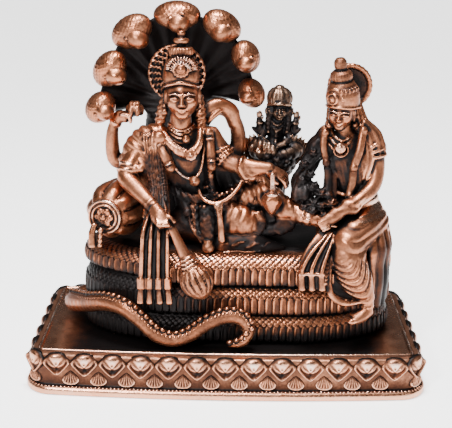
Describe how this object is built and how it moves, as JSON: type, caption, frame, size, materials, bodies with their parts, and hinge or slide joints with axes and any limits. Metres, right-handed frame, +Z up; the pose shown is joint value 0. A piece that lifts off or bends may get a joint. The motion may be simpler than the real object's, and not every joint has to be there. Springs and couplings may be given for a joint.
{
  "type": "vishnu and lakshmi idol",
  "caption": "Cast metal table idol: four-armed god reclining on a coiled hooded serpent, goddess seated at his feet, small god on a lotus, on a lotus-petal plinth.",
  "frame": {"origin": "centre of the plinth's flat underside", "axes": "+X towards the viewer's right, the goddess's end, +Y away from the viewer, +Z up"},
  "size_m": [0.12, 0.066, 0.1121],
  "materials": {
    "plinth_copper": "burnished copper plating over a dark patina",
    "serpent_copper": "burnished copper plating, scales left dark in their recesses",
    "figure_copper": "burnished copper plating over a dark patina",
    "dark_bronze": "near-black patina with rubbed edges"
  },
  "bodies": {
    "root": {"plinth": "plinth_copper", "serpent": "serpent_copper", "vishnu": "figure_copper", "lakshmi": "figure_copper", "brahma": "dark_bronze"}
  },
  "joints": []
}
